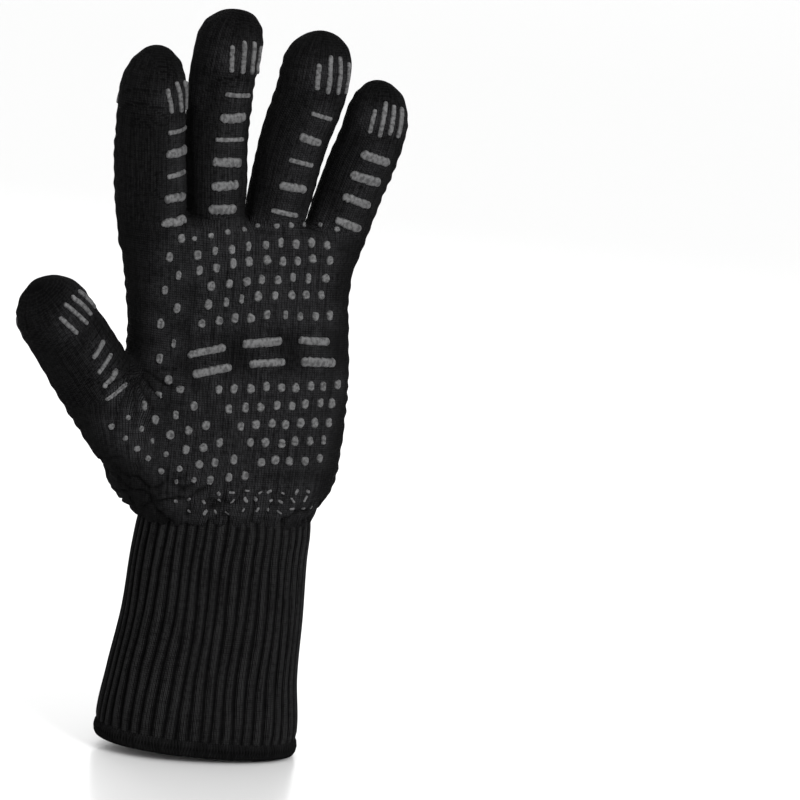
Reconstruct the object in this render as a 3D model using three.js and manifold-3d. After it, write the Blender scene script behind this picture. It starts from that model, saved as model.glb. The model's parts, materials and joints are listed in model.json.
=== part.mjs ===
// A long-cuffed, knitted, heat resistant glove for a left hand, standing on the rim of its cuff.
// Millimetres, +Z up along the cuff, palm towards -Y, thumb towards -X. The origin is the bottom
// centre of the glove's bounding box. The outer knit is a shell over a cotton liner, and both are
// cut where the hand bends: at the wrist, at three joints in each finger and at two in the thumb.
// A fold node fills each cut, and stands for the loose fabric that stretches and crumples there.
import * as THREE from "three";
import { mergeVertices } from "three/addons/utils/BufferGeometryUtils.js";
import Module from "manifold-3d";

const wasm = await Module();
wasm.setup();

// Fabric, measured inwards from the outer face of the knit.
const KNIT = 1.6;
const LINER_OUTER = 1.9;
const LINER_INNER = 2.9;
const GRIP_GAP = 0.3;
const GRIP_HEIGHT = 1.0;
const GAP = 0.4;
const PAST = 2;

// Half the width of a cut at its hinge, which a fold node fills.
const WAIST = 0.8;

// The hem band stands proud of the ribs, and laps over the liner's edge inside.
const HEM_PROUD = 1.2;
const HEM_LAP = 0.3;

// Heights on the cuff and palm.
const HEM_TOP = 6;
const RIBS_TOP = 82;
const PALM_BOTTOM = 103;
const CROTCH = 236;

// Half width, half depth, centre x and height of each level.
const CUFF_LEVELS = [
  [46.0, 28.0, -1.0, 0],
  [46.3, 28.5, -1.0, 12],
  [43.8, 27.5, -1.0, 35],
  [41.5, 26.5, -0.4, 62],
  [40.5, 25.5, -0.4, 89],
  [40.5, 25.0, -0.4, 103],
];
const PALM_LEVELS = [
  [40.5, 25.0, -0.4, 103],
  [44.5, 25.7, -1.4, 112],
  [50.5, 26.5, -2.4, 124],
  [52.5, 26.3, -2.6, 136],
  [52.4, 25.2, -2.4, 154],
  [51.2, 23.0, -1.8, 180],
  [50.8, 20.5, -5.2, 204],
  [54.3, 18.5, -7.4, 225],
  [57.4, 17.0, -7.0, 236],
];
const CUFF_POWER = 2.2;
const PALM_POWER = 2.5;
const FINGER_POWER = 2.1;

// Each finger's line from the crotch to its tip, its half width at its root, at a third and near
// the tip, its half depth and the height of its domed end. The joints lie at shares of the
// finger's length.
const FINGERS = {
  index: {
    line: [[-48.6, 0, 236], [-53.0, -2, 262], [-56.4, -6, 288], [-56.2, -10, 313]],
    half: [15.4, 15.2, 15.0],
    deep: 13.0,
    dome: 21,
  },
  middle: {
    line: [[-19.4, 0, 236], [-23.2, -1, 267], [-25.2, -5, 300], [-21.6, -10, 331]],
    half: [12.6, 13.4, 15.6],
    deep: 13.0,
    dome: 15,
  },
  ring: {
    line: [[7.5, 0, 236], [10.0, -1, 265], [15.8, -5, 296], [19.0, -9, 325]],
    half: [13.4, 14.4, 16.4],
    deep: 12.8,
    dome: 16,
  },
  little: {
    line: [[37.5, 1, 236], [43.0, 0, 260], [48.2, -3, 282], [48.6, -7, 306]],
    half: [13.4, 14.0, 14.8],
    deep: 11.8,
    dome: 18,
  },
};
const FINGER_INSIDE = 0.12;
const FINGER_FROM = -0.1;
const KNUCKLE_AT = 0.13;
const MIDDLE_AT = 0.43;
const TIP_AT = 0.7;
const BENDS = { knuckle: [60, 15], middle: [65, 5], tip: [36, 3] };

// The thumb leaves the palm's side. Its line starts inside the palm.
const THUMB = {
  line: [[-35, -5, 121], [-57.5, -8.5, 151], [-80.5, -12.5, 178.5], [-102, -17, 206]],
  half: [14.5, 20.0, 17.6],
  deep: 15.2,
  dome: 17,
};
const THUMB_FROM = 0.1;
const THUMB_FOLD_FROM = 0.47;
const THUMB_BASE_AT = 0.57;
const THUMB_TIP_AT = 0.77;
const THUMB_BENDS = { base: [35, 12], tip: [50, 5] };
const THUMB_PAD = new THREE.Vector3(0.62, -0.78, 0.1);

const SIZE_AT = [0.33, 0.75];

const TUBE_SIDES = 12;
const PALM_SIDES = 24;
const CAP_STEPS = [0.4, 0.72, 0.93];
const RING_SHARES = [0.28, 0.56];
const RING_GAP = 0.03;
const BORE_PAST = 0.1;
const BIG = 80;

// Where the patches of print lie: how far forward or back from the middle, their clearance from
// the thumb, and the width and height of the one on a tip. That one's distance from the digit's
// end is a share of the digit's half width, which keeps it clear of the segment below when the
// tip bends.
const PATCH_FROM = 9;
const PATCH_CLEAR = 0.2;
const TIP_PATCH = [15, 12];
const TIP_PATCH_SHARE = 0.95;

const MATERIALS = {
  knit: new THREE.MeshStandardMaterial({ color: 0x17171a, roughness: 0.95, metalness: 0 }),
  rib: new THREE.MeshStandardMaterial({ color: 0x131315, roughness: 0.95, metalness: 0 }),
  liner: new THREE.MeshStandardMaterial({ color: 0x4a4a4d, roughness: 0.95, metalness: 0 }),
  silicone: new THREE.MeshStandardMaterial({ color: 0x4c4c4e, roughness: 0.42, metalness: 0 }),
};

const glove = new THREE.Group();

// ---- Solids from closed geometry, and back ----

function solidOf(geometry) {
  const plain = new THREE.BufferGeometry();
  plain.setAttribute("position", geometry.getAttribute("position").clone());
  if (geometry.index) plain.setIndex(geometry.index.clone());
  const merged = mergeVertices(plain, 1e-4);
  return new wasm.Manifold(
    new wasm.Mesh({
      numProp: 3,
      vertProperties: merged.attributes.position.array,
      triVerts: new Uint32Array(merged.index.array),
    }),
  );
}

function geometryOf(solid) {
  const mesh = solid.getMesh();
  const geometry = new THREE.BufferGeometry();
  geometry.setAttribute("position", new THREE.BufferAttribute(mesh.vertProperties, 3));
  geometry.setIndex(new THREE.BufferAttribute(mesh.triVerts, 1));
  geometry.computeVertexNormals();
  return geometry;
}

function place(name, solid, material) {
  const mesh = new THREE.Mesh(geometryOf(solid), MATERIALS[material]);
  mesh.name = name;
  glove.add(mesh);
}

function box(low, high) {
  const size = high.map((h, i) => h - low[i]);
  const made = new THREE.BoxGeometry(...size);
  return solidOf(made.translate(low[0] + size[0] / 2, low[1] + size[1] / 2, low[2] + size[2] / 2));
}

// ---- Lofts ----

// A ring of points on a superellipse about centre.
function ring(centre, across, front, half, deep, sides, power) {
  return Array.from({ length: sides }, (_, i) => {
    const angle = (2 * Math.PI * (i + 0.5)) / sides;
    const squared = (x) => Math.sign(x) * Math.abs(x) ** (2 / power);
    return centre
      .clone()
      .addScaledVector(across, half * squared(Math.cos(angle)))
      .addScaledVector(front, deep * squared(Math.sin(angle)));
  });
}

// A closed skin over the rings, each with as many points as the others, with a fan over each end.
function loft(rings) {
  const sides = rings[0].length;
  const points = rings.flat();
  const faces = [];
  for (let r = 0; r + 1 < rings.length; r++) {
    for (let i = 0; i < sides; i++) {
      const [a, b] = [r * sides + i, r * sides + ((i + 1) % sides)];
      faces.push(a, b, b + sides, a, b + sides, a + sides);
    }
  }
  const sum = (list) => list.reduce((total, p) => total.add(p), new THREE.Vector3());
  const middle = (list) => sum(list).divideScalar(sides);
  const [low, high] = [points.length, points.length + 1];
  const top = (rings.length - 1) * sides;
  for (let i = 0; i < sides; i++) {
    const next = (i + 1) % sides;
    faces.push(low, next, i, high, top + i, top + next);
  }
  points.push(middle(rings[0]), middle(rings.at(-1)));
  const geometry = new THREE.BufferGeometry().setFromPoints(points);
  return solidOf(geometry.setIndex(faces));
}

const X = new THREE.Vector3(1, 0, 0);
const BACK = new THREE.Vector3(0, 1, 0);

// The levels between two heights, made smaller by inset. The ends are worked out, and may lie
// past the first or last level.
function stack(levels, from, to, inset, power) {
  const at = (z) => {
    const found = levels.findIndex((level) => level[3] >= z);
    const next = found < 0 ? levels.length - 1 : Math.max(1, found);
    const [low, high] = [levels[next - 1], levels[next]];
    const share = (z - low[3]) / (high[3] - low[3]);
    return low.map((value, i) => THREE.MathUtils.lerp(value, high[i], share));
  };
  const inside = levels.filter((l) => l[3] > from + 1 && l[3] < to - 1);
  return loft(
    [at(from), ...inside, at(to)].map(([half, deep, x, z]) =>
      ring(new THREE.Vector3(x, 0, z), X, BACK, half - inset, deep - inset, PALM_SIDES, power),
    ),
  );
}

// A finger or the thumb as a curve with a direction to the side and one to the pad at each point.
// Its hinges turn about axis, or about its own side direction where there is no axis.
function digit({ line, half, deep, dome }, pad, axis) {
  const points = line.map((p) => new THREE.Vector3(...p));
  const curve = new THREE.CatmullRomCurve3(points, false, "centripetal");
  const length = curve.getLength();
  const frame = (share) => {
    const inside = THREE.MathUtils.clamp(share, 0, 1);
    const along = curve.getTangentAt(inside);
    const centre = curve.getPointAt(inside).addScaledVector(along, (share - inside) * length);
    const front = pad.clone().addScaledVector(along, -pad.dot(along)).normalize();
    return { centre, along, front, across: along.clone().cross(front) };
  };
  const hinge = (share) => {
    const plain = frame(share);
    const across = axis ?? plain.across;
    const along = plain.along.clone().addScaledVector(across, -plain.along.dot(across)).normalize();
    return { centre: plain.centre, along, across, front: across.clone().cross(along) };
  };
  const { lerp, smoothstep } = THREE.MathUtils;
  const size = (share) => {
    const lower = lerp(half[0], half[1], smoothstep(share, 0, SIZE_AT[0]));
    return lerp(lower, half[2], smoothstep(share, ...SIZE_AT));
  };
  return { length, frame, hinge, size, deep, cap: dome, tip: half[2] };
}

// The digit's solid from a share of its length to the tip, made smaller by inset. The tip is a dome.
function digitSolid(d, from, inset) {
  const domeFrom = 1 - d.cap / d.length;
  const apart = (share) => share > from + RING_GAP && share < domeFrom - RING_GAP;
  const shares = [from, ...RING_SHARES.filter(apart)];
  const at = (share, shrink) => {
    const { centre, front, across } = d.frame(share);
    const [half, deep] = [(d.size(share) - inset) * shrink, (d.deep - inset) * shrink];
    return ring(centre, front, across, deep, half, TUBE_SIDES, FINGER_POWER);
  };
  const rings = shares.map((share) => at(share, 1));
  rings.push(at(domeFrom, 1));
  for (const step of CAP_STEPS) {
    const share = domeFrom + ((d.cap - inset) / d.length) * step;
    rings.push(at(share, Math.sqrt(1 - step * step)));
  }
  return loft(rings);
}

// ---- Cuts at the joints ----

// A prism across the digit at a joint. It opens by palmar and dorsal degrees on each side of the
// joint's level, and by clear at the hinge itself. With below, it takes all that is below as well.
function cut(d, share, [palmar, dorsal], clear, below = false) {
  const { centre, along, front } = d.hinge(share);
  const rise = (degrees) => clear + BIG * Math.tan(THREE.MathUtils.degToRad(degrees));
  const [pad, nail] = [rise(palmar), rise(dorsal)];
  const floor = below ? [[-BIG, -BIG], [BIG, -BIG]] : [[-BIG, -nail], [0, -clear], [BIG, -pad]];
  const outline = [...floor, [BIG, pad], [0, clear], [-BIG, nail]];
  const shape = new THREE.Shape(outline.map(([f, s]) => new THREE.Vector2(f, s)));
  const prism = new THREE.ExtrudeGeometry(shape, { depth: 2 * BIG, bevelEnabled: false });
  prism.translate(0, 0, -BIG);
  const turn = new THREE.Matrix4().makeBasis(front, along, front.clone().cross(along));
  return solidOf(prism.applyMatrix4(turn).translate(centre.x, centre.y, centre.z));
}

// The wall of a digit between two insets, cut at its joints. Returns the pieces from base to tip.
function segments(d, from, outer, inner, joints, floor) {
  let wall = digitSolid(d, from, outer).subtract(digitSolid(d, from - BORE_PAST, inner));
  wall = wall.subtract(floor);
  joints.forEach(([share, opening], i) => {
    wall = wall.subtract(cut(d, share, opening, WAIST + GAP, i === 0));
  });
  const direction = d.frame(0.6).along;
  const reach = (part) => {
    const { min, max } = part.boundingBox();
    return new THREE.Vector3(...min).add(new THREE.Vector3(...max)).dot(direction);
  };
  return wall.decompose().sort((a, b) => reach(a) - reach(b));
}

// The loose fabric of one joint, which fills the cut there.
function fold(d, from, [share, opening], first, floor) {
  const wall = digitSolid(d, from, 0).subtract(digitSolid(d, from - BORE_PAST, LINER_INNER));
  return wall.subtract(floor).intersect(cut(d, share, opening, WAIST, first));
}

const PAD = new THREE.Vector3(0, -1, 0);
const halves = ([most, least]) => [most / 2, least / 2];

// The rigid segments and the folds of a digit. zones names its joints and names its segments.
function addDigit(name, d, from, joints, floor, names, zones) {
  segments(d, from, 0, KNIT, joints, floor).forEach((part, i) => {
    place(`${name}_${names[i]}_knit`, part, "knit");
  });
  segments(d, from, LINER_OUTER, LINER_INNER, joints, floor).forEach((part, i) => {
    place(`${name}_${names[i]}_liner`, part, "liner");
  });
  zones.forEach((zone, i) => {
    place(`${name}_${zone}_fold`, fold(d, from, joints[i], i === 0, floor), "knit");
  });
  tipPatch(`${name}_tip_grip`, d);
}

// ---- The glove ----

// A stretch of the cuff between two heights, with its wall between two insets.
function cuffTube([from, to], outer, inner) {
  const bore = stack(CUFF_LEVELS, from - PAST, to + PAST, inner, CUFF_POWER);
  return stack(CUFF_LEVELS, from, to, outer, CUFF_POWER).subtract(bore);
}

function addCuff() {
  const ribs = [HEM_TOP + GAP, RIBS_TOP];
  const wrist = [RIBS_TOP + GAP, PALM_BOTTOM - GAP];
  place("cuff_hem_band", cuffTube([0, HEM_TOP], -HEM_PROUD, LINER_INNER + HEM_LAP), "rib");
  place("cuff_ribs", cuffTube(ribs, 0, KNIT), "rib");
  place("cuff_liner", cuffTube(ribs, LINER_OUTER, LINER_INNER), "liner");
  place("wrist_fold", cuffTube(wrist, 0, LINER_INNER), "rib");
}

const fingers = Object.fromEntries(
  Object.entries(FINGERS).map(([name, finger]) => [name, digit(finger, PAD, X)]),
);
const thumb = digit(THUMB, THUMB_PAD);
const thumbRoot = cut(thumb, THUMB_FOLD_FROM, [0, 0], GAP / 2, true);

const largest = (solid) => solid.decompose().sort((a, b) => b.volume() - a.volume())[0];

// The wall of the palm between two insets, with the root of the thumb. Its top closes the webs
// between the fingers, and is open into each finger.
function palmWall(outer, inner) {
  const root = digitSolid(thumb, 0, outer).intersect(thumbRoot);
  let wall = stack(PALM_LEVELS, PALM_BOTTOM, CROTCH - outer, outer, PALM_POWER).add(root);
  wall = wall.subtract(stack(PALM_LEVELS, PALM_BOTTOM - PAST, CROTCH - inner, inner, PALM_POWER));
  wall = wall.subtract(digitSolid(thumb, 0, inner));
  for (const finger of Object.values(fingers)) {
    wall = wall.subtract(digitSolid(finger, -FINGER_INSIDE, inner));
  }
  return largest(wall);
}

function addPalm() {
  place("palm_knit", palmWall(0, KNIT), "knit");
  place("palm_liner", palmWall(LINER_OUTER, LINER_INNER), "liner");
}

// A field of silicone print on the palm or the back, as one thin patch over the knit.
function palmPatch(name, side, [left, right], [low, high]) {
  const outer = stack(PALM_LEVELS, low, high, -GRIP_GAP - GRIP_HEIGHT, PALM_POWER);
  const lowest = Math.max(PALM_BOTTOM, low - PAST);
  const highest = Math.min(CROTCH, high + PAST);
  const inner = stack(PALM_LEVELS, lowest, highest, -GRIP_GAP, PALM_POWER);
  const [front, back] = side > 0 ? [PATCH_FROM, BIG] : [-BIG, -PATCH_FROM];
  const window = box([left, front, low], [right, back, high]);
  const clear = digitSolid(thumb, 0, -GRIP_GAP - PATCH_CLEAR);
  place(name, largest(outer.subtract(inner).intersect(window).subtract(clear)), "silicone");
}

// The silicone bars on the pad of a fingertip, as one thin patch over the knit.
function tipPatch(name, d) {
  const { centre, front, across } = d.frame(1 - (d.tip * TIP_PATCH_SHARE) / d.length);
  const [wide, tall] = TIP_PATCH;
  const window = new THREE.BoxGeometry(2 * BIG, wide, tall).translate(BIG, 0, tall / 2);
  const turn = new THREE.Matrix4().makeBasis(front, across, front.clone().cross(across));
  window.applyMatrix4(turn).translate(centre.x, centre.y, centre.z);
  const skin = digitSolid(d, 0.5, -GRIP_GAP - GRIP_HEIGHT).subtract(digitSolid(d, 0.4, -GRIP_GAP));
  place(name, skin.intersect(solidOf(window)), "silicone");
}

const belowPalm = box([-BIG * 2, -BIG, 0], [BIG * 2, BIG, CROTCH + GAP]);
const NAMES = ["proximal", "middle", "tip"];

addCuff();
addPalm();
const fingerJoints = [
  [KNUCKLE_AT, [BENDS.knuckle[0] / 2, 0]],
  [MIDDLE_AT, halves(BENDS.middle)],
  [TIP_AT, halves(BENDS.tip)],
];
for (const [name, d] of Object.entries(fingers)) {
  addDigit(name, d, FINGER_FROM, fingerJoints, belowPalm, NAMES, ["knuckle", "middle", "tip"]);
}

const thumbJoints = [
  [THUMB_BASE_AT, halves(THUMB_BENDS.base)],
  [THUMB_TIP_AT, halves(THUMB_BENDS.tip)],
];
const belowThumb = cut(thumb, THUMB_FOLD_FROM, [0, 0], GAP, true).add(
  stack(PALM_LEVELS, PALM_BOTTOM, CROTCH, -GAP, PALM_POWER),
);
addDigit("thumb", thumb, THUMB_FROM, thumbJoints, belowThumb, ["proximal", "tip"], ["base", "tip"]);

for (const [name, side] of [["palm", -1], ["back", 1]]) {
  palmPatch(`${name}_dots_upper`, side, [-54, 42], [192, 232]);
  palmPatch(`${name}_bars`, side, [-40, 44], [168, 191]);
  palmPatch(`${name}_dots_lower`, side, [-40, 44], [106, 167]);
}

// The origin goes to the bottom centre of the bounding box.
const extent = new THREE.Box3().setFromObject(glove);
const shift = extent.getCenter(new THREE.Vector3()).setZ(extent.min.z).negate();
for (const mesh of glove.children) mesh.position.copy(shift);

export default glove;
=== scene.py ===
import json
import math
import random
from types import SimpleNamespace as Sizes

import bpy
import numpy as np
from mathutils import Matrix, Vector, noise
from mathutils.bvhtree import BVHTree


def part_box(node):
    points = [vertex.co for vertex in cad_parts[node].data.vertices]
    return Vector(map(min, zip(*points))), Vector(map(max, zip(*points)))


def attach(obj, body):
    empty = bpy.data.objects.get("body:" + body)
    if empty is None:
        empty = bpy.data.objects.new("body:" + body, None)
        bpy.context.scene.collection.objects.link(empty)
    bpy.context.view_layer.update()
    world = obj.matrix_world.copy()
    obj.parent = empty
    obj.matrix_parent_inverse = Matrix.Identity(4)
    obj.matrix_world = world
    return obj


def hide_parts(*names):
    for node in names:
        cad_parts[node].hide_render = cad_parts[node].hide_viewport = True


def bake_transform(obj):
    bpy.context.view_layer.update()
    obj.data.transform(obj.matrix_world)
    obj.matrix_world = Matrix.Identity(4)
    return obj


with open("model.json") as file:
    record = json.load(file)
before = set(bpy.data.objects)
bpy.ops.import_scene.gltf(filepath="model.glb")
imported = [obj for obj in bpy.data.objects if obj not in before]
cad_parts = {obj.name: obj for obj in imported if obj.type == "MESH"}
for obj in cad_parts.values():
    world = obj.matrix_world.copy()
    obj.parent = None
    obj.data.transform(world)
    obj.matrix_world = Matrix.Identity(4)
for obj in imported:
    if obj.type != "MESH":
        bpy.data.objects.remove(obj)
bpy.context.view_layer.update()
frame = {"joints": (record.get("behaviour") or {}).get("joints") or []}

# A long-cuffed knitted glove with silicone print. The numbers below are millimetres, as in the
# frame's design. MM turns them into Blender's metres when a mesh is made.
MM = 0.001
FINGERS = ("index", "middle", "ring", "little")
DIGITS = FINGERS + ("thumb",)

# Half width, half depth, sideways shift from the wrist's axis and height of each level.
CUFF_LEVELS = (
    (46.0, 28.0, -1.4, 0),
    (46.3, 28.5, -1.5, 12),
    (43.8, 27.5, -1.6, 35),
    (41.5, 26.5, 0.0, 62),
    (40.3, 25.5, 0.1, 89),
    (39.5, 24.8, 0.9, 106),
    (38.2, 23.4, 0.6, 116),
)
PALM_LEVELS = (
    (38.0, 23.2, 0.6, 103),
    (39.2, 24.3, 0.5, 106),
    (40.4, 24.9, 0.2, 108),
    (42.2, 25.3, -0.7, 110),
    (46.2, 26.0, -2.4, 114),
    (51.4, 26.5, -3.5, 121),
    (53.4, 26.5, -3.8, 128),
    (53.0, 26.3, -2.8, 136),
    (52.4, 25.2, -2.0, 154),
    (51.2, 23.0, -1.4, 180),
    (50.8, 20.5, -4.8, 204),
    (54.0, 18.0, -6.7, 225),
    (56.5, 15.5, -6.4, 236),
)
CUFF_POWER = 2.2
PALM_POWER = 2.5
FINGER_POWER = 2.15
CROTCH = 236
HEM_TOP = 8.5

# The palm's lower edge is lower at the thumb's side than at the other by twice the tilt's half. The
# tilt comes in over its rise above the lowest level, and goes over its fade below its top.
TILT = Sizes(half=2.2, rise=4, top=126, fade=16)

# The thumb's half width at some shares of its length, its half depth, how far its line runs inside
# the palm and past its last joint, and the shares of its length between which its web is.
THUMB = Sizes(
    halves=(14.5, 20.0, 17.6),
    places=(0, 0.33, 0.75),
    deep=15.2,
    inside=62,
    past=26,
    web=(0.3, 0.8),
)

# A finger's width where it leaves the palm, as a share of its width at the knuckle, how deep in
# the palm its line starts, and how much further sideways than its tip's middle the line ends.
ROOT = Sizes(width=0.92, depth=12)
TIP_LEAN = 1.7

# The height of each digit's domed end, and how far its top is moved sideways.
DOMES = {"index": 22, "middle": 16, "ring": 17.5, "little": 20, "thumb": 17}
DOME_SHIFTS = {"index": -0.4, "middle": 1.8, "ring": 1.6, "little": -0.6, "thumb": 0}

# Along a digit: the distance between the points of its line and between its rings, the rings of its
# domed end, how far round the dome's quarter they go, and how far before its first bend the digit's
# pieces start.
LINE_STEP = 0.25
RING_STEP = 2.0
ROUNDING = Sizes(rings=14, share=0.97)
BEFORE_BEND = 0.4

# The gap that is kept between neighbouring fingers, and the height over which it opens. The fabric
# is even beside it, this far from it and from this far below the crotch.
GAP = Sizes(width=2.5, rise=5, beside=4, below=8)

# Knit: the width of a wale, the height of a course, the number of ribs round the cuff, the wales
# in a rib, a rib's height and the fabric's thickness.
WALE = 1.25
COURSE = 1.0
RIBS = 46
RIB_WALES = 4
RIB_DEPTH = 1.5
FABRIC = 1.4

# The lining: how far in it lies in the hand and in the cuff, its thickness, and the share of the
# shell's faces that it keeps.
LINER = Sizes(inset=2.3, cuff_inset=3.0, thick=0.8, faces=0.25)

# The length of a bend, as a share of the fabric that turns there, and how much of a first joint's
# bend comes before its axis.
BEND_LENGTH = 1.45
KNUCKLE_BEFORE = 0.42


# ---- Reading the frame ----

JOINTS = {joint["name"]: joint for joint in frame["joints"]}


def pivot(name):
    return np.array(JOINTS[name]["pos_m"]) / MM


def axis_of(name):
    return np.array(JOINTS[name]["axis"])


def bend_of(name):
    return math.radians(max(abs(limit) for limit in JOINTS[name]["range_deg"]))


def box_of(node):
    low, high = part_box(node)
    return np.array(low) / MM, np.array(high) / MM


def unit(vector):
    return vector / np.linalg.norm(vector)


def units(vectors):
    return vectors / np.linalg.norm(vectors, axis=1)[:, None]


def sampled(at, known, rows):
    """Rows of numbers in between the known ones."""
    return np.column_stack([np.interp(at, known, column) for column in rows.T])


def steps_round(ring):
    """At each point of a closed ring, the step from the one before it to the one after it."""
    return np.roll(ring, -1, axis=0) - np.roll(ring, 1, axis=0)


def ramp(values):
    return np.clip(values, 0, 1)


def fall(distance, reach):
    """1 at no distance, and down to nothing well past the reach."""
    return np.exp(-((distance / reach) ** 2))


WRIST = pivot("wrist")


# ---- Meshes ----

def add_object(name, data):
    made = bpy.data.objects.new(name, data)
    bpy.context.scene.collection.objects.link(made)
    return made


def mesh_object(name, points, faces):
    mesh = bpy.data.meshes.new(name)
    mesh.from_pydata([tuple(p) for p in np.asarray(points) * MM], [], faces)
    mesh.update()
    made = add_object(name, mesh)
    mesh.shade_smooth()
    return made


def evaluated(made):
    """The mesh of an object with its modifiers applied. The object itself is removed."""
    bpy.context.view_layer.update()
    depsgraph = bpy.context.evaluated_depsgraph_get()
    mesh = bpy.data.meshes.new_from_object(made.evaluated_get(depsgraph))
    bpy.data.objects.remove(made)
    return mesh


def vertex_values(mesh, kind):
    flat = np.empty(len(mesh.vertices) * 3, dtype=np.float32)
    mesh.vertices.foreach_get(kind, flat)
    return flat.reshape(-1, 3).astype(float)


def points_of(mesh):
    return vertex_values(mesh, "co") / MM


def normals_of(mesh):
    return vertex_values(mesh, "normal")


def move_points(mesh, points):
    mesh.vertices.foreach_set("co", (points * MM).astype(np.float32).ravel())
    mesh.update()


def superellipse(angle, power):
    return [np.sign(v) * np.abs(v) ** (2 / power) for v in (np.cos(angle), np.sin(angle))]


def corners_of(faces):
    """The number of the point at each corner of each face, in one row."""
    return np.array([v for face in faces for v in face])


def bands(count, sides, base=0):
    """The faces between one ring of points and the next. The base is the first point's number."""
    faces = []
    for low in range(base, base + (count - 1) * sides, sides):
        for i in range(sides):
            j = (i + 1) % sides
            faces.append((low + i, low + j, low + sides + j, low + sides + i))
    return faces


def skin(rings, closed=True):
    """Points and faces of a skin over rings with as many points each, capped if it is closed."""
    count, sides = len(rings), len(rings[0])
    points = np.concatenate(rings)
    faces = bands(count, sides)
    if closed:
        faces.append(tuple(range(sides - 1, -1, -1)))
        faces.append(tuple((count - 1) * sides + i for i in range(sides)))
    return points, faces


def smooth_levels(levels, heights):
    """The levels at the heights, on a smooth curve through them."""
    table = np.array(levels, float)
    known = table[:, 3]
    slopes = np.gradient(table[:, :3], known, axis=0)
    found = np.clip(np.searchsorted(known, heights) - 1, 0, len(known) - 2)
    span = (known[found + 1] - known[found])[:, None]
    t = ((heights - known[found]) / span[:, 0])[:, None]
    a, b = table[found, :3], table[found + 1, :3]
    sa, sb = slopes[found] * span, slopes[found + 1] * span
    return (
        a * (2 * t**3 - 3 * t**2 + 1)
        + sa * (t**3 - 2 * t**2 + t)
        + b * (3 * t**2 - 2 * t**3)
        + sb * (t**3 - t**2)
    )


# ---- The line of each digit ----

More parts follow.
